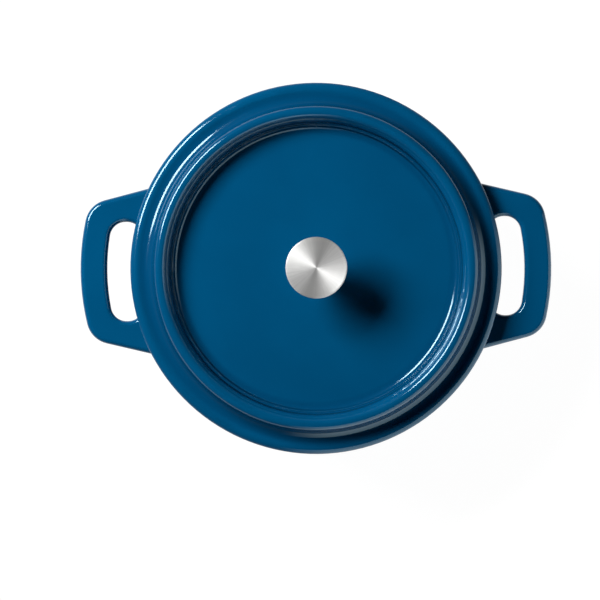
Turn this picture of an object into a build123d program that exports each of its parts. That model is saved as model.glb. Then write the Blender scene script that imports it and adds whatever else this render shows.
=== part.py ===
from build123d import *
import os
from math import atan2, cos, pi, radians, sin, tan

# Cast iron dutch oven: a round pot with loop handles, a loose lid with a raised ring, and a steel knob.
# Millimetres, +Z up. The origin is on the floor under the pot's axis, and the handles point along X.

# Pot casting
POT_HEIGHT = 104.0  # floor to rim
MOUTH_RADIUS = 119.0  # inside, at the rim
POT_TAPER = 7.0  # how much narrower the inside gets from the rim down to the floor
WALL = 4.0
BASE_THICKNESS = 4.3
BASE_CURVE = 24.0  # inside, between the base and the wall
FOOT_HEIGHT = 1.5
FOOT_INSET = 4.0  # from the start of the outer base curve in to the foot's edge
FOOT_EDGE = 0.6
RIM_ROUND = 1.4

# Loop handles, cast in one with the pot
HANDLE_REACH = 37.7  # from the pot's rim out to the handle's outer edge
HANDLE_BAR = 18.3  # width of the bar that the hand holds
HANDLE_THICKNESS = 10.5
HANDLE_DROP = 6.5  # from the rim down to the handle's top
HANDLE_SLOT = 67.6  # length of the slot for the fingers
HANDLE_ARM = 18.2  # width of each arm beside the slot's middle
HANDLE_FLARE = 14.0  # degrees by which the arms spread towards the pot
HANDLE_CORNER = 18.0
HANDLE_EDGE = 3.4
HANDLE_ROOT = 4.0  # fillet where the handle meets the wall
SLOT_CORNER = 11.0  # beside the bar
SLOT_ROOT_CORNER = 11.0  # beside the wall
SLOT_SINK = 2.5  # by which the slot's outline runs on into the wall

# Lid casting
LID_OVERHANG = 3.0  # beyond the pot's rim
LID_THICKNESS = 3.8
FLANGE_THICKNESS = 6.2  # at its upper edge
FLANGE_DISH = 12.0  # degrees by which its top falls towards the ring
FLANGE_BEVEL = 31.0  # degrees by which the bevel below the upper edge leans in
FLANGE_BEVEL_HEIGHT = 3.5
FLANGE_ROUND = 5.2  # on the upper edge
FLANGE_SIDE_ROUND = 1.0  # between the bevel and the upright side
FLANGE_LOWER_ROUND = 1.0
RING_INSET = 17.3  # from the flange's side in to the outer edge of the ring's crown
RING_HEIGHT = 14.8  # above the flange's upper edge
RING_WIDTH = 6.4  # at the crown
RING_OUTER_ROUND = 3.5
RING_INNER_ROUND = 4.0
RING_OUTER_DRAFT = 9.0  # degrees by which the ring's walls lean
RING_INNER_DRAFT = 20.0
RING_COVE = 6.9
RECESS_DEPTH = 15.1  # from the ring's crown down to the lid's flat top
RECESS_COVE = 7.5
LIP_DEPTH = 4.0  # the lip that keeps the lid centred in the mouth
LIP_WIDTH = 4.0
LIP_ROUND = 1.5
LIP_CLEARANCE = 1.0
DRIP_RADIUS = 2.4  # drops under the lid that condensation falls from
DRIP_SPACING = 28.0
DRIP_FIRST_RING = 30.0
DRIP_RING_STEP = 25.0

# Knob and its fastening
SCREW_RADIUS = 3.0
SCREW_HEAD_RADIUS = 5.6
SCREW_HEAD_HEIGHT = 3.4
SCREW_HEAD_ROUND = 1.6
CROSS_WIDTH = 1.2  # each bar of the cross recess in the screw's head
CROSS_LENGTH = 6.0
CROSS_DEPTH = 1.8
THREAD_LENGTH = 9.0  # screwed into the knob
THREAD_CLEARANCE = 0.05
HOLE_CLEARANCE = 0.3
FLAT_WASHER_WIDTH = 4.8
FLAT_WASHER_THICKNESS = 1.2
LOCK_WASHER_WIDTH = 2.4
LOCK_WASHER_THICKNESS = 1.6
LOCK_WASHER_SPLIT = 1.0
LOCK_WASHER_SLANT = 20.0  # degrees
GASKET_THICKNESS = 1.5
GASKET_INSET = 0.6  # from the knob's foot in to the gasket's edge
INSERT_WALL = 3.0
INSERT_TIP_ROOM = 2.0  # thread left above the screw's tip
INSERT_GAP = 1.0  # between the insert and the stem round it
FIT_GAP = 0.05
KNOB_SHEET = 1.5  # steel sheet of the cap and the stem
KNOB_RADIUS = 20.5
KNOB_ROUND = 0.9
CAP_HEIGHT = 5.0
CAP_LOWER_ROUND = 0.6
STEM_FOOT_HEIGHT = 2.6
STEM_FOOT_WIDTH = 3.2  # by which the foot stands out from the neck
STEM_FOOT_SLOPE = 4.4  # height over which the foot narrows to the neck
STEM_NECK_HEIGHT = 5.0
STEM_FLARE_HEIGHT = 18.0  # from the neck up to the cap
STEM_FOOT_ROUND = 1.2
STEM_NECK_ROUND = 5.0
STEM_FLARE_ROUND = 12.0

# Modelling allowances
CUT_ROOM = 1.0  # by which a cutting tool reaches past what it cuts
FILLET_SHARE = 0.96  # most of a wall that its fillets may use up

# Places worked out from the sizes above
rim_radius = MOUTH_RADIUS + WALL
pot_draft = atan2(POT_TAPER, POT_HEIGHT)
pot_floor = FOOT_HEIGHT + BASE_THICKNESS
handle_top = POT_HEIGHT - HANDLE_DROP
handle_bottom = handle_top - HANDLE_THICKNESS
flange_radius = rim_radius + LID_OVERHANG
flange_top = POT_HEIGHT + FLANGE_THICKNESS
ring_radius = flange_radius - RING_INSET
ring_top = flange_top + RING_HEIGHT
lid_top = ring_top - RECESS_DEPTH
lid_under = lid_top - LID_THICKNESS
lip_bottom = POT_HEIGHT - LIP_DEPTH
hole_radius = SCREW_RADIUS + HOLE_CLEARANCE
flat_washer_under = lid_under - FLAT_WASHER_THICKNESS
lock_washer_under = flat_washer_under - LOCK_WASHER_THICKNESS
knob_foot = lid_top + GASKET_THICKNESS
neck_bottom = knob_foot + STEM_FOOT_HEIGHT + STEM_FOOT_SLOPE
neck_top = neck_bottom + STEM_NECK_HEIGHT
cap_under = neck_top + STEM_FLARE_HEIGHT
knob_top = cap_under + CAP_HEIGHT
thread_radius = SCREW_RADIUS + THREAD_CLEARANCE
insert_radius = thread_radius + INSERT_WALL
neck_radius = insert_radius + INSERT_GAP + KNOB_SHEET
stem_foot_radius = neck_radius + STEM_FOOT_WIDTH
collar_radius = KNOB_RADIUS - KNOB_SHEET - FIT_GAP


def section(corners):
    """Closed XZ face from (radius, height, fillet) corners, with each fillet limited by its two walls."""
    points = [Vector(radius, 0, height) for radius, height, _ in corners]
    count = len(points)
    walls = [points[(i + 1) % count] - points[i] for i in range(count)]
    half_turns = [radians(walls[i - 1].get_angle(walls[i])) / 2 for i in range(count)]
    reach = [corners[i][2] * tan(half_turns[i]) for i in range(count)]
    shares = []
    for i in range(count):
        used = reach[i] + reach[(i + 1) % count]
        shares.append(min(1.0, FILLET_SHARE * walls[i].length / used) if used else 1.0)
    fillets = [corners[i][2] * min(shares[i - 1], shares[i]) for i in range(count)]
    return make_face(FilletPolyline(*points, radius=fillets, close=True))


def turned(corners):
    """Solid turned about the Z axis from (radius, height, fillet) corners."""
    return revolve(section(corners), Axis.Z)


def ring(inner, outer, bottom, height):
    """Flat ring round the Z axis."""
    return Pos(0, 0, bottom) * extrude(Circle(outer) - Circle(inner), height)


def pot_inside(height):
    """Radius of the pot's inner wall at a height."""
    return MOUTH_RADIUS - POT_TAPER * (POT_HEIGHT - height) / POT_HEIGHT


def pot_outside(height):
    """Radius of the pot's outer wall at a height."""
    return pot_inside(height) + WALL


def pot_shell():
    """Base, wall and rim in one turned section."""
    outer_curve = BASE_CURVE + WALL
    base_corner = pot_outside(FOOT_HEIGHT)
    foot_radius = base_corner - outer_curve * tan((pi / 2 - pot_draft) / 2) - FOOT_INSET
    return turned(
        [
            (0, 0, 0),
            (foot_radius, 0, FOOT_EDGE),
            (foot_radius, FOOT_HEIGHT, 0),
            (base_corner, FOOT_HEIGHT, outer_curve),
            (rim_radius, POT_HEIGHT, RIM_ROUND),
            (MOUTH_RADIUS, POT_HEIGHT, RIM_ROUND),
            (pot_inside(pot_floor), pot_floor, BASE_CURVE),
            (0, pot_floor, 0),
        ]
    )


def handle():
    """Loop handle on the +X side, reaching half way into the wall."""
    outer = rim_radius + HANDLE_REACH
    slot_outer = outer - HANDLE_BAR
    slot_inner = pot_outside(handle_top) - SLOT_SINK
    slot_middle = (slot_outer + slot_inner) / 2
    half_width = HANDLE_SLOT / 2 + HANDLE_ARM
    spread = tan(radians(HANDLE_FLARE))

    def arm_edge(x):
        return half_width + (slot_middle - x) * spread

    tip = outer + CUT_ROOM
    root, end = arm_edge(0), arm_edge(tip)
    wedge = Polygon((0, root), (0, -root), (tip, -end), (tip, end), align=None)
    outline = wedge & Circle(outer)
    outline = fillet(outline.vertices().sort_by(Axis.X)[-2:], HANDLE_CORNER)
    window = Pos(slot_middle, 0) * Rectangle(slot_middle, HANDLE_SLOT)
    slot = (Circle(slot_outer) - Circle(slot_inner)) & window
    room = FILLET_SHARE * (slot_outer - slot_inner) / (SLOT_CORNER + SLOT_ROOT_CORNER)
    slot = fillet(slot.vertices().sort_by(Axis.X)[2:], min(1.0, room) * SLOT_CORNER)
    slot = fillet(slot.vertices().sort_by(Axis.X)[:2], min(1.0, room) * SLOT_ROOT_CORNER)
    plate = Pos(0, 0, handle_bottom) * extrude(outline - slot, HANDLE_THICKNESS)
    edge = min(HANDLE_EDGE, FILLET_SHARE * HANDLE_THICKNESS / 2)
    faces = plate.faces().sort_by(Axis.Z)
    plate = fillet(faces[0].edges() + faces[-1].edges(), edge)
    half_wall = WALL / 2
    upright = (Align.CENTER, Align.CENTER, Align.MIN)
    core = Cone(pot_inside(0) + half_wall, MOUTH_RADIUS + half_wall, POT_HEIGHT, align=upright)
    return plate - core


def pot():
    """Pot casting with both handles and the fillets at their roots."""
    shell = pot_shell()
    loops = [handle(), Rot(0, 0, 180) * handle()]
    casting = shell + loops
    roots = new_edges(shell, *loops, combined=casting)
    wall_above = HANDLE_DROP - RIM_ROUND
    return fillet(roots, min(HANDLE_ROOT, FILLET_SHARE * wall_above))


def lip_outer():
    """Radius of the lid's lip, clear of the pot's wall at the lip's lower end."""
    return pot_inside(lip_bottom) - LIP_CLEARANCE


def lip_inner():
    """Radius inside the lid's lip."""
    return lip_outer() - LIP_WIDTH


def drips():
    """Half balls under the lid, in rings round the screw."""
    drop = Sphere(DRIP_RADIUS, arc_size1=-90, arc_size2=0)
    found = []
    radius = DRIP_FIRST_RING
    while radius < lip_inner() - DRIP_SPACING / 2:
        count = round(2 * pi * radius / DRIP_SPACING)
        for i in range(count):
            angle = 2 * pi * i / count
            found.append(Pos(radius * cos(angle), radius * sin(angle), lid_under) * drop)
        radius += DRIP_RING_STEP
    return found


def lid():
    """Lid casting: flange, raised ring, sunk flat top, centring lip and drips."""
    ring_inner = ring_radius - RING_WIDTH
    recess_radius = ring_inner - RECESS_DEPTH * tan(radians(RING_INNER_DRAFT))
    edge_radius = flange_radius - FLANGE_BEVEL_HEIGHT * tan(radians(FLANGE_BEVEL))
    lean, dish = tan(radians(RING_OUTER_DRAFT)), tan(radians(FLANGE_DISH))
    foot_radius = (ring_radius + lean * (RING_HEIGHT + dish * edge_radius)) / (1 + lean * dish)
    foot = flange_top - dish * (edge_radius - foot_radius)
    body = turned(
        [
            (hole_radius, lid_under, 0),
            (lip_inner(), lid_under, LIP_ROUND),
            (lip_inner(), lip_bottom, LIP_ROUND),
            (lip_outer(), lip_bottom, LIP_ROUND),
            (lip_outer(), POT_HEIGHT, 0),
            (flange_radius, POT_HEIGHT, FLANGE_LOWER_ROUND),
            (flange_radius, flange_top - FLANGE_BEVEL_HEIGHT, FLANGE_SIDE_ROUND),
            (edge_radius, flange_top, FLANGE_ROUND),
            (foot_radius, foot, RING_COVE),
            (ring_radius, ring_top, RING_OUTER_ROUND),
            (ring_inner, ring_top, RING_INNER_ROUND),
            (recess_radius, lid_top, RECESS_COVE),
            (hole_radius, lid_top, 0),
        ]
    )
    # A quarter turn keeps the seam of the turned faces away from the handles.
    return Rot(0, 0, 90) * (body + drips())


def knob_gasket():
    """Soft ring that keeps the steel off the enamel."""
    return ring(hole_radius, stem_foot_radius - GASKET_INSET, lid_top, GASKET_THICKNESS)


def stem_outline(inset):
    """Corners of the stem's outside, or of its hollow when inset by the sheet."""
    foot = knob_foot + inset
    return [
        (0, foot, 0),
        (stem_foot_radius - inset, foot, 0),
        (stem_foot_radius - inset, knob_foot + STEM_FOOT_HEIGHT, STEM_FOOT_ROUND),
        (neck_radius - inset, neck_bottom, STEM_NECK_ROUND),
        (neck_radius - inset, neck_top, STEM_FLARE_ROUND),
        (collar_radius - inset, cap_under, 0),
        (collar_radius - inset, knob_top - KNOB_SHEET, 0),
        (0, knob_top - KNOB_SHEET, 0),
    ]


def knob_stem():
    """Hollow sheet stem, open at the top, with a hole for the insert in its foot."""
    hole = Pos(0, 0, knob_foot) * Cylinder(insert_radius + FIT_GAP, 2 * KNOB_SHEET + CUT_ROOM)
    return turned(stem_outline(0)) - turned(stem_outline(KNOB_SHEET)) - hole


def knob_cap():
    """Turned steel cap over the stem's collar."""
    skirt_inner = KNOB_RADIUS - KNOB_SHEET
    plate_under = knob_top - KNOB_SHEET
    return turned(
        [
            (0, plate_under, 0),
            (skirt_inner, plate_under, 0),
            (skirt_inner, cap_under, 0),
            (KNOB_RADIUS, cap_under, CAP_LOWER_ROUND),
            (KNOB_RADIUS, knob_top, KNOB_ROUND),
            (0, knob_top, 0),
        ]
    )


def knob_insert():
    """Threaded boss in the stem's foot. Its thread is a plain bore."""
    return ring(thread_radius, insert_radius, knob_foot, THREAD_LENGTH + INSERT_TIP_ROOM)


def flat_washer():
    """Washer against the lid's underside."""
    return ring(hole_radius, hole_radius + FLAT_WASHER_WIDTH, flat_washer_under, FLAT_WASHER_THICKNESS)


def lock_washer():
    """Split spring washer, pressed flat under the screw's head."""
    outer = hole_radius + LOCK_WASHER_WIDTH
    washer = ring(hole_radius, outer, lock_washer_under, LOCK_WASHER_THICKNESS)
    to_one_side = (Align.MIN, Align.CENTER, Align.CENTER)
    blade = Box(outer, LOCK_WASHER_SPLIT, 2 * LOCK_WASHER_THICKNESS, align=to_one_side)
    middle = lock_washer_under + LOCK_WASHER_THICKNESS / 2
    return washer - Pos(0, 0, middle) * Rot(LOCK_WASHER_SLANT, 0, 0) * blade


def knob_screw():
    """Round headed screw from below the lid up into the insert. Its thread is a plain shank."""
    head_under = lock_washer_under - SCREW_HEAD_HEIGHT
    body = turned(
        [
            (0, head_under, 0),
            (SCREW_HEAD_RADIUS, head_under, SCREW_HEAD_ROUND),
            (SCREW_HEAD_RADIUS, lock_washer_under, 0),
            (SCREW_RADIUS, lock_washer_under, 0),
            (SCREW_RADIUS, knob_foot + THREAD_LENGTH, 0),
            (0, knob_foot + THREAD_LENGTH, 0),
        ]
    )
    bar = Pos(0, 0, head_under) * Box(CROSS_LENGTH, CROSS_WIDTH, 2 * CROSS_DEPTH)
    return body - bar - Rot(0, 0, 90) * bar


def main():
    os.makedirs("parts", exist_ok=True)
    makers = [pot, lid, knob_cap, knob_stem, knob_insert, knob_gasket, knob_screw, flat_washer, lock_washer]
    for maker in makers:
        export_step(maker(), f"parts/{maker.__name__}.step")


main()
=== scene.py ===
from math import cos, hypot, pi, radians, sin

import bpy
from mathutils import Matrix, Vector


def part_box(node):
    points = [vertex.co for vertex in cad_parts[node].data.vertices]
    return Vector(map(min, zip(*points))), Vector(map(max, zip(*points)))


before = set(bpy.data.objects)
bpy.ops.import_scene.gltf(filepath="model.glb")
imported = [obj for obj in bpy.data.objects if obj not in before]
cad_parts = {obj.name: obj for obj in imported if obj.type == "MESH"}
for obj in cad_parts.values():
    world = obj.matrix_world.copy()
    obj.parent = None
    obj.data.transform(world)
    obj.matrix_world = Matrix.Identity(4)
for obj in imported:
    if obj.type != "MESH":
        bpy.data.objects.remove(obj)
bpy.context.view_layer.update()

# Metres, in the frame of the CAD model: the handles point along X, and the pot stands on z = 0.
# Colours are linear.

# Camera, from the photograph's frame and what was measured in it
IMAGE_SIZE = 600  # pixels, as the next two
POT_CENTRE_PIXEL = (316.0, 268.4)
FLANGE_DIAMETER_PIXELS = 371.0
CAMERA_DISTANCE = 2.0  # from the plane of the pot's rim
CAMERA_ROLL = radians(0.9)
SENSOR_WIDTH = 36.0  # millimetres, as Blender counts lenses

# Material slots of the castings, and where one gives way to another
BLUE, CREAM, DARK = range(3)
MOUTH_RADIUS = 0.119  # inside the pot, at its rim
LIP_RADIUS = 0.1178  # outside of the lid's centring lip
RIM_BAND = 0.0014  # height of the bare dark band on the pot's rim
SEAT_BAND = 0.0012  # height of the same band round the lid's seat
SEAT_NORMAL = -0.5  # Z of a face's normal, below which it belongs to the seat
INSIDE_MARGIN = 0.0005

# Enamel: its colour, the same where it lies thicker, and its specks
BLUE_COLOURS = ((0.0002, 0.0812, 0.199, 1), (0.0002, 0.0724, 0.180, 1), (0.0001, 0.048, 0.128, 1))
CREAM_COLOURS = ((0.72, 0.66, 0.53, 1), (0.68, 0.62, 0.49, 1), (0.45, 0.38, 0.27, 1))
BLUE_GLOSS = {"Specular_IOR_Level": 0.6, "Specular_Tint": (0.62, 0.90, 1.0, 1)}
GLASS_IOR = 1.5

# Radii on top of the lid: the coves are darker, partly as thicker enamel and partly as painted shade, and
# the enamel ripples and has run on the recess wall.
RECESS_POOL_AND_SHADE = (0.0935, 0.097)
FLANGE_POOL_AND_SHADE = (0.1105, 0.1165)
POOL_AND_SHADE_FADE = 0.004
POOL_AND_SHADE_SHARE = 0.62  # how far the colour goes there towards the colour of the specks
RIPPLE_WALL = (0.0972, 0.1015)
RIPPLE_FADE = 0.0014
RIPPLE_HEIGHT = 0.00012
RUNS = ((0.0968, 0.0972), (0.0995, 0.1002))
RUN_RISE = 0.0015
RUN_FALL = 0.0007
RUN_HEIGHT = 0.0014

# The other finishes, each between two colours
BAND_COLOURS = ((0.010, 0.011, 0.013, 1), (0.026, 0.027, 0.030, 1))
BRUSHED_COLOURS = ((0.60, 0.60, 0.59, 1), (0.72, 0.72, 0.71, 1))
PLAIN_COLOURS = ((0.42, 0.42, 0.41, 1), (0.60, 0.60, 0.58, 1))
SILICONE_COLOURS = ((0.018, 0.018, 0.019, 1), (0.034, 0.034, 0.035, 1))

# Painted highlight and painted shade on the brushed steel, as lobes round its axis. The painted sheen and
# shade lie at an azimuth and half a turn on, and each ends where the cosine of twice the angle from there
# has come down to its end.
PAINTED_SHEEN_AZIMUTH = radians(30)
PAINTED_SHEEN_END = -0.1
PAINTED_SHEEN_SHARE = 0.95
PAINTED_SHEEN_COLOUR = (0.99, 0.99, 0.98, 1)
PAINTED_SHADE_AZIMUTH = radians(76)
PAINTED_SHADE_END = 0.5
PAINTED_SHADE_SHARE = 0.18
PAINTED_SHADE_COLOUR = (0.20, 0.20, 0.20, 1)
STREAK_SHARE = 0.12
STREAK_COLOUR = (0.30, 0.30, 0.30, 1)

# Key light, with azimuths from +X towards +Y and zenith angles from straight up
KEY_AZIMUTH = radians(146)
KEY_ZENITH = radians(50.5)
KEY_DISTANCE = 1.6
KEY_WIDTH = 0.86
KEY_HEIGHT = 0.54
KEY_RADIANCE = 27.5

# Pale wall at the lower right of the picture, and the rest of the studio
WALL_AZIMUTH = radians(318)
WALL_BRIGHT_HALF = radians(40)  # half the azimuths that it fills, at full strength and at all
WALL_HALF = radians(62)
WALL_TOP = radians(46)  # elevation, as reflections show it
WALL_RADIANCE = 1.9
LOW_TOP = radians(20)  # elevation of the part of it that lights the pot
LOW_RADIANCE = 1.6
FAR_TOP = radians(28)  # elevation of the dim surroundings
FAR_RADIANCE = 0.06
DARK_RADIANCE = 0.004
EDGE_BLUR = radians(3)
HORIZON_FADE = radians(25)  # how far below it the background is white, as reflections show it
WHITE = (1, 1, 1, 1)

# Floor
FLOOR_RADIUS = 0.38
FLOOR_FADE_FROM = 0.20  # radius from which it thins out towards its edge
FLOOR_SIDES = 96
FLOOR_GAP = 0.0002  # below the foot, so that the two faces don't coincide
FLOOR_COLOUR = (0.86, 0.86, 0.86, 1)
FLOOR_WHITE = 1.10
FLOOR_SHADOW_SHARE = 0.11  # how much of the floor's look comes from the light that falls on it

# Sockets of a Mix node that mixes colours
MIX_FIRST, MIX_SECOND, MIX_RESULT = 6, 7, 2


def add(tree, kind, inputs=None, **settings):
    """Adds a shader node. An input is a value, or a socket to link from."""
    node = tree.nodes.new(kind)
    for name, value in settings.items():
        setattr(node, name, value)
    for name, value in (inputs or {}).items():
        if isinstance(value, bpy.types.NodeSocket):
            tree.links.new(value, node.inputs[name])
        else:
            node.inputs[name].default_value = value
    return node


def math_node(tree, operation, first, second=0.0):
    """Result of a Math node."""
    return add(tree, "ShaderNodeMath", {0: first, 1: second}, operation=operation).outputs[0]


def span(tree, value, low, high, to_low=0.0, to_high=1.0):
    """Smooth change from one number to another while a value goes from low to high."""
    inputs = {"Value": value, "From Min": low, "From Max": high, "To Min": to_low, "To Max": to_high}
    return add(tree, "ShaderNodeMapRange", inputs, interpolation_type="SMOOTHSTEP").outputs["Result"]


def band(tree, value, limits, fade_in, fade_out):
    """One while a value is between two limits, fading to nothing below and above them."""
    low, high = limits
    up = span(tree, value, low - fade_in, low)
    return math_node(tree, "MULTIPLY", up, span(tree, value, high, high + fade_out, 1.0, 0.0))


def mixed(tree, factor, first, second):
    """Mix of two colours."""
    inputs = {0: factor, MIX_FIRST: first, MIX_SECOND: second}
    return add(tree, "ShaderNodeMix", inputs, data_type="RGBA").outputs[MIX_RESULT]


def place(tree):
    """Position on the object, in metres."""
    return add(tree, "ShaderNodeTexCoord").outputs["Object"]


def axes(tree):
    """The same position as separate X, Y and Z."""
    return add(tree, "ShaderNodeSeparateXYZ", {0: place(tree)}).outputs


def from_axis(tree):
    """Distance from the object's Z axis."""
    spot = axes(tree)
    squares = [math_node(tree, "MULTIPLY", spot[axis], spot[axis]) for axis in ("X", "Y")]
    return math_node(tree, "SQRT", math_node(tree, "ADD", *squares))


def about_axis(tree):
    """Azimuth about the object's Z axis."""
    spot = axes(tree)
    return math_node(tree, "ARCTAN2", spot["Y"], spot["X"])


def along_rings(tree, across, along):
    """Where to look up noise that is drawn out along rings about Z."""
    turn = about_axis(tree)
    inputs = {"X": math_node(tree, "MULTIPLY", from_axis(tree), across)}
    for axis, operation in (("Y", "COSINE"), ("Z", "SINE")):
        inputs[axis] = math_node(tree, "MULTIPLY", math_node(tree, operation, turn), along)
    return add(tree, "ShaderNodeCombineXYZ", inputs).outputs[0]


def lobes(tree, azimuth, end):
    """Two opposite lobes about Z, which end at a cosine of twice the angle from an azimuth."""
    aside = math_node(tree, "SUBTRACT", about_axis(tree), azimuth)
    doubled = math_node(tree, "MULTIPLY", aside, 2.0)
    return span(tree, math_node(tree, "COSINE", doubled), end, 1.0)


def noise(tree, scale, detail=2.0, roughness=0.5, vector=None):
    """Noise from 0 to 1, with its scale in features per metre."""
    inputs = {"Vector": vector or place(tree), "Scale": scale, "Detail": detail, "Roughness": roughness}
    return add(tree, "ShaderNodeTexNoise", inputs).outputs["Fac"]


def new_material(name, **values):
    """Principled material with constants set on the shader's own sockets."""
    material = bpy.data.materials.new(name)
    material.use_nodes = True
    shader = material.node_tree.nodes["Principled BSDF"]
    for socket, value in values.items():
        shader.inputs[socket.replace("_", " ")].default_value = value
    return material, material.node_tree, shader


def feed(tree, shader, **sources):
    """Links sockets to the shader's inputs."""
    for socket, source in sources.items():
        tree.links.new(source, shader.inputs[socket.replace("_", " ")])


def bump(tree, shader, height, distance, strength=1.0):
    """Links a height to the shader's normal, on top of any bump that it has."""
    node = add(tree, "ShaderNodeBump", {"Height": height, "Distance": distance, "Strength": strength})
    for link in shader.inputs["Normal"].links:
        tree.links.new(link.from_socket, node.inputs["Normal"])
    feed(tree, shader, Normal=node.outputs["Normal"])


def enamel(name, colours, **values):
    """Glossy glass enamel with cloudy depth of colour and fine specks.

    Returns the material, and the parts of it that lid_enamel builds on.
    """
    colour, pooled, speck = colours
    material, tree, shader = new_material(name, IOR=GLASS_IOR, **values)
    clouds = span(tree, noise(tree, scale=16, detail=3), 0.3, 0.7)
    specks = span(tree, noise(tree, scale=1500, detail=1), 0.70, 0.78, to_high=0.35)
    coat = mixed(tree, specks, mixed(tree, clouds, colour, pooled), speck)
    smears = span(tree, noise(tree, scale=45, detail=4), 0.35, 0.75, to_low=0.09, to_high=0.13)
    feed(tree, shader, Base_Color=coat, Roughness=smears)
    bump(tree, shader, noise(tree, scale=160, detail=1), distance=0.00001)
    return material, tree, shader, coat, smears


def lid_enamel(name, colours, **values):
    """The same enamel, darker in the lid's coves as thicker enamel and painted shade, with ripples and
    runs on the recess wall.
    """
    material, tree, shader, coat, smears = enamel(name, colours, **values)
    speck = colours[-1]
    radius = from_axis(tree)
    # Painted shade, together with thicker enamel, darkens the coves towards the colour of the specks.
    pools_and_shade = [band(tree, radius, limits, POOL_AND_SHADE_FADE, POOL_AND_SHADE_FADE) for limits in (RECESS_POOL_AND_SHADE, FLANGE_POOL_AND_SHADE)]
    depth = math_node(tree, "MULTIPLY", math_node(tree, "MAXIMUM", *pools_and_shade), POOL_AND_SHADE_SHARE)
    streaks = noise(tree, scale=1, detail=1, vector=along_rings(tree, across=520, along=6))
    rippled = band(tree, radius, RIPPLE_WALL, RIPPLE_FADE, RIPPLE_FADE)
    bump(tree, shader, streaks, RIPPLE_HEIGHT, rippled)
    runs = [band(tree, radius, limits, RUN_RISE, RUN_FALL) for limits in RUNS]
    runs = math_node(tree, "MAXIMUM", *runs)
    height = math_node(tree, "MULTIPLY", runs, span(tree, streaks, 0.3, 0.7, to_low=0.85))
    bump(tree, shader, height, RUN_HEIGHT)
    dull = math_node(tree, "MULTIPLY", runs, span(tree, streaks, 0.35, 0.65, to_high=0.15))
    roughness = math_node(tree, "ADD", smears, dull)
    feed(tree, shader, Base_Color=mixed(tree, depth, coat, speck), Roughness=roughness)
    return material


def bare_band(name):
    """Matt dark enamel of the rim and the lid's seat."""
    material, tree, shader = new_material(name, IOR=GLASS_IOR)
    grain = noise(tree, scale=900, detail=3)
    roughness = span(tree, grain, 0.2, 0.8, to_low=0.45, to_high=0.65)
    feed(tree, shader, Base_Color=mixed(tree, grain, *BAND_COLOURS), Roughness=roughness)
    bump(tree, shader, grain, distance=0.00005)
    return material


def turned_steel(name):
    """Steel brushed in circles about Z, with painted sheen and painted shade in lobes round the axis."""
    material, tree, shader = new_material(name, Metallic=0.70, Anisotropic=0.8, Anisotropic_Rotation=0.25)
    lines_at = {"X": from_axis(tree), "Y": axes(tree)["Z"]}
    lines_at = add(tree, "ShaderNodeCombineXYZ", lines_at).outputs[0]
    lines = noise(tree, scale=5200, detail=3, roughness=0.7, vector=lines_at)
    streaks_at = along_rings(tree, across=0, along=14)
    streaks = noise(tree, scale=1, detail=2, roughness=0.6, vector=streaks_at)
    # Painted sheen and painted shade in lobes round the axis, and the steel's own streaks along the
    # rings.
    painted_light_and_streaks = (
        (lobes(tree, PAINTED_SHEEN_AZIMUTH, PAINTED_SHEEN_END), PAINTED_SHEEN_SHARE, PAINTED_SHEEN_COLOUR),
        (lobes(tree, PAINTED_SHADE_AZIMUTH, PAINTED_SHADE_END), PAINTED_SHADE_SHARE, PAINTED_SHADE_COLOUR),
        (span(tree, streaks, 0.3, 0.7), STREAK_SHARE, STREAK_COLOUR),
    )
    steel = mixed(tree, lines, *BRUSHED_COLOURS)
    for where, share, colour in painted_light_and_streaks:
        steel = mixed(tree, math_node(tree, "MULTIPLY", where, share), steel, colour)
    roughness = span(tree, lines, 0.25, 0.75, to_low=0.53, to_high=0.61)
    tangent = add(tree, "ShaderNodeTangent", direction_type="RADIAL", axis="Z").outputs[0]
    feed(tree, shader, Base_Color=steel, Roughness=roughness, Tangent=tangent)
    bump(tree, shader, lines, distance=0.000004)
    return material


def fastener_steel(name):
    """Plain bright steel with faint tool marks."""
    material, tree, shader = new_material(name, Metallic=1.0)
    marks = noise(tree, scale=1400, detail=4, roughness=0.6)
    roughness = span(tree, marks, 0.3, 0.7, to_low=0.22, to_high=0.38)
    feed(tree, shader, Base_Color=mixed(tree, marks, *PLAIN_COLOURS), Roughness=roughness)
    bump(tree, shader, marks, distance=0.000008)
    return material


def silicone(name):
    """Matt dark silicone."""
    material, tree, shader = new_material(name, IOR=1.41)
    grain = noise(tree, scale=2500, detail=2)
    roughness = span(tree, grain, 0.3, 0.7, to_low=0.55, to_high=0.7)
    feed(tree, shader, Base_Color=mixed(tree, grain, *SILICONE_COLOURS), Roughness=roughness)
    bump(tree, shader, grain, distance=0.00001)
    return material


def paint(node, materials, choose):
    """Gives each face of a CAD node one of several materials, by its middle and its normal."""
    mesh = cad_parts[node].data
    mesh.materials.clear()
    for material in materials:
        mesh.materials.append(material)
    for face in mesh.polygons:
        face.material_index = choose(face.center, face.normal)


pot_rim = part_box("pot")[1].z


def pot_face(middle, normal):
    """Cream inside the pot, dark on the rim, blue outside."""
    if middle.z > pot_rim - RIM_BAND:
        return DARK
    within = hypot(middle.x, middle.y) < MOUTH_RADIUS + INSIDE_MARGIN
    faces_in = normal.z > 0 or normal.x * middle.x + normal.y * middle.y < 0
    return CREAM if within and faces_in else BLUE


def lid_face(middle, normal):
    """Cream under the lid, dark where it sits on the rim, blue above."""
    if hypot(middle.x, middle.y) > LIP_RADIUS:
        return DARK if middle.z < pot_rim + SEAT_BAND and normal.z < SEAT_NORMAL else BLUE
    return CREAM if normal.z < 0 or middle.z < pot_rim else BLUE


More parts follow.
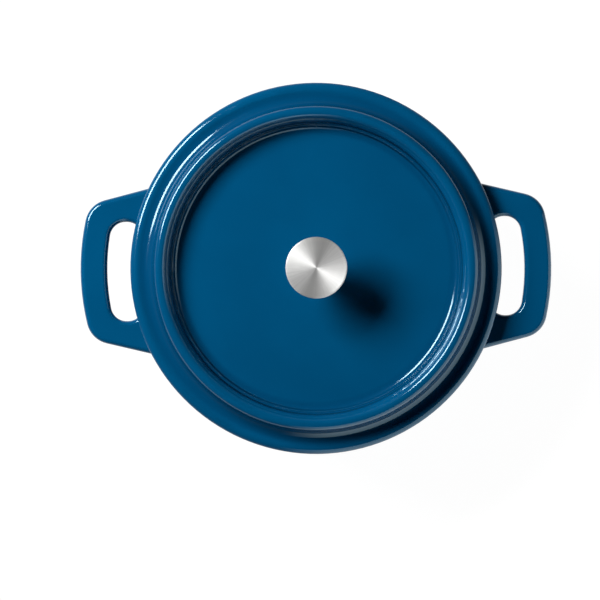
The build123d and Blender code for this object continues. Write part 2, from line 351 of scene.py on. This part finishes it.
def paint_nodes():
    """Paints every CAD node."""
    blue = enamel("blue_enamel", BLUE_COLOURS, **BLUE_GLOSS)[0]
    lid_blue = lid_enamel("lid_enamel", BLUE_COLOURS, **BLUE_GLOSS)
    cream = enamel("cream_enamel", CREAM_COLOURS)[0]
    dark = bare_band("dark_band")
    paint("pot", [blue, cream, dark], pot_face)
    paint("lid", [lid_blue, cream, dark], lid_face)
    brushed = turned_steel("brushed_steel")
    plain = fastener_steel("plain_steel")
    soft = silicone("silicone")
    finishes = {
        "knob_cap": brushed,
        "knob_stem": brushed,
        "knob_insert": plain,
        "knob_screw": plain,
        "flat_washer": plain,
        "lock_washer": plain,
        "knob_gasket": soft,
    }
    for node, material in finishes.items():
        paint(node, [material], lambda middle, normal: 0)


def direction(azimuth, zenith):
    """Unit vector that points at an azimuth and a zenith angle."""
    return Vector((sin(zenith) * cos(azimuth), sin(zenith) * sin(azimuth), cos(zenith)))


def make_camera():
    """Camera straight above, placed so that the pot's axis falls on its pixel."""
    low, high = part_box("lid")
    metres_per_pixel = (high.y - low.y) / FLANGE_DIAMETER_PIXELS
    data = bpy.data.cameras.new("camera")
    data.sensor_width = SENSOR_WIDTH
    data.lens = SENSOR_WIDTH * CAMERA_DISTANCE / (IMAGE_SIZE * metres_per_pixel)
    camera = bpy.data.objects.new("camera", data)
    bpy.context.scene.collection.objects.link(camera)
    roll = Matrix.Rotation(-CAMERA_ROLL, 4, "Z")
    middle = IMAGE_SIZE / 2
    aside = Vector((middle - POT_CENTRE_PIXEL[0], POT_CENTRE_PIXEL[1] - middle, 0)) * metres_per_pixel
    camera.matrix_world = roll @ Matrix.Translation(aside + Vector((0, 0, pot_rim + CAMERA_DISTANCE)))
    bpy.context.scene.camera = camera


def make_key():
    """Softbox at the upper left of the picture."""
    data = bpy.data.lights.new("key", "AREA")
    data.shape = "RECTANGLE"
    data.size = KEY_WIDTH
    data.size_y = KEY_HEIGHT
    data.energy = KEY_RADIANCE * pi * KEY_WIDTH * KEY_HEIGHT
    light = bpy.data.objects.new("key", data)
    bpy.context.scene.collection.objects.link(light)
    towards = direction(KEY_AZIMUTH, KEY_ZENITH)
    light.location = towards * KEY_DISTANCE + Vector((0, 0, pot_rim))
    light.rotation_euler = towards.to_track_quat("Z", "Y").to_euler()
    light.visible_camera = False


def make_world():
    """Dark studio with a pale wall at the picture's lower right.

    The camera sees white, and so do reflections below the horizon.
    """
    world = bpy.data.worlds.new("studio")
    world.use_nodes = True
    tree = world.node_tree
    tree.nodes.clear()
    spot = add(tree, "ShaderNodeTexCoord").outputs["Generated"]
    spot = add(tree, "ShaderNodeSeparateXYZ", {0: spot}).outputs
    elevation = math_node(tree, "ARCSINE", spot["Z"])
    flat = add(tree, "ShaderNodeCombineXYZ", {"X": spot["X"], "Y": spot["Y"]}).outputs[0]
    level = add(tree, "ShaderNodeVectorMath", {0: flat}, operation="NORMALIZE").outputs[0]
    towards = {0: level, 1: direction(WALL_AZIMUTH, pi / 2)}
    facing = add(tree, "ShaderNodeVectorMath", towards, operation="DOT_PRODUCT").outputs["Value"]
    wall = span(tree, facing, cos(WALL_HALF), cos(WALL_BRIGHT_HALF))

    def below(top, radiance):
        """Radiance under an elevation, fading to nothing above it."""
        return span(tree, elevation, top - EDGE_BLUR, top + EDGE_BLUR, radiance, 0.0)

    lit_by = math_node(tree, "MULTIPLY", wall, below(LOW_TOP, LOW_RADIANCE))
    shown = math_node(tree, "MULTIPLY", wall, below(WALL_TOP, WALL_RADIANCE))
    shown = math_node(tree, "MAXIMUM", shown, below(FAR_TOP, FAR_RADIANCE))
    shown = math_node(tree, "MAXIMUM", shown, span(tree, elevation, -HORIZON_FADE, 0.0, 1.0, 0.0))
    path = add(tree, "ShaderNodeLightPath").outputs
    studio = {"Factor": path["Is Glossy Ray"], "A": lit_by, "B": shown}
    studio = add(tree, "ShaderNodeMix", studio).outputs["Result"]
    studio = math_node(tree, "MAXIMUM", studio, DARK_RADIANCE)
    seen = math_node(tree, "MAXIMUM", path["Is Camera Ray"], path["Is Transmission Ray"])
    strength = math_node(tree, "MAXIMUM", studio, seen)
    background = add(tree, "ShaderNodeBackground", {"Color": WHITE, "Strength": strength})
    add(tree, "ShaderNodeOutputWorld", {"Surface": background.outputs[0]})
    bpy.context.scene.world = world


def make_floor():
    """Plain white round floor that keeps the object's shadow and thins out at its edge."""
    turns = [2 * pi * i / FLOOR_SIDES for i in range(FLOOR_SIDES)]
    corners = [(FLOOR_RADIUS * cos(turn), FLOOR_RADIUS * sin(turn), -FLOOR_GAP) for turn in turns]
    mesh = bpy.data.meshes.new("floor")
    mesh.from_pydata(corners, [], [range(FLOOR_SIDES)])
    floor = bpy.data.objects.new("floor", mesh)
    bpy.context.scene.collection.objects.link(floor)
    material = bpy.data.materials.new("floor")
    material.use_nodes = True
    tree = material.node_tree
    tree.nodes.clear()
    lit = add(tree, "ShaderNodeBsdfDiffuse", {"Color": FLOOR_COLOUR}).outputs[0]
    white = add(tree, "ShaderNodeEmission", {"Color": WHITE, "Strength": FLOOR_WHITE}).outputs[0]
    path = add(tree, "ShaderNodeLightPath").outputs
    seen = math_node(tree, "MAXIMUM", path["Is Camera Ray"], path["Is Glossy Ray"])
    seen = math_node(tree, "MAXIMUM", seen, path["Is Transmission Ray"])
    share = math_node(tree, "MULTIPLY", seen, 1 - FLOOR_SHADOW_SHARE)
    blend = add(tree, "ShaderNodeMixShader", {0: share, 1: lit, 2: white}).outputs[0]
    gone = span(tree, from_axis(tree), FLOOR_FADE_FROM, FLOOR_RADIUS)
    clear = add(tree, "ShaderNodeBsdfTransparent").outputs[0]
    faded = add(tree, "ShaderNodeMixShader", {0: gone, 1: blend, 2: clear}).outputs[0]
    add(tree, "ShaderNodeOutputMaterial", {"Surface": faded})
    mesh.materials.append(material)


paint_nodes()
make_camera()
make_key()
make_world()
make_floor()
bpy.context.scene.view_settings.view_transform = "Standard"
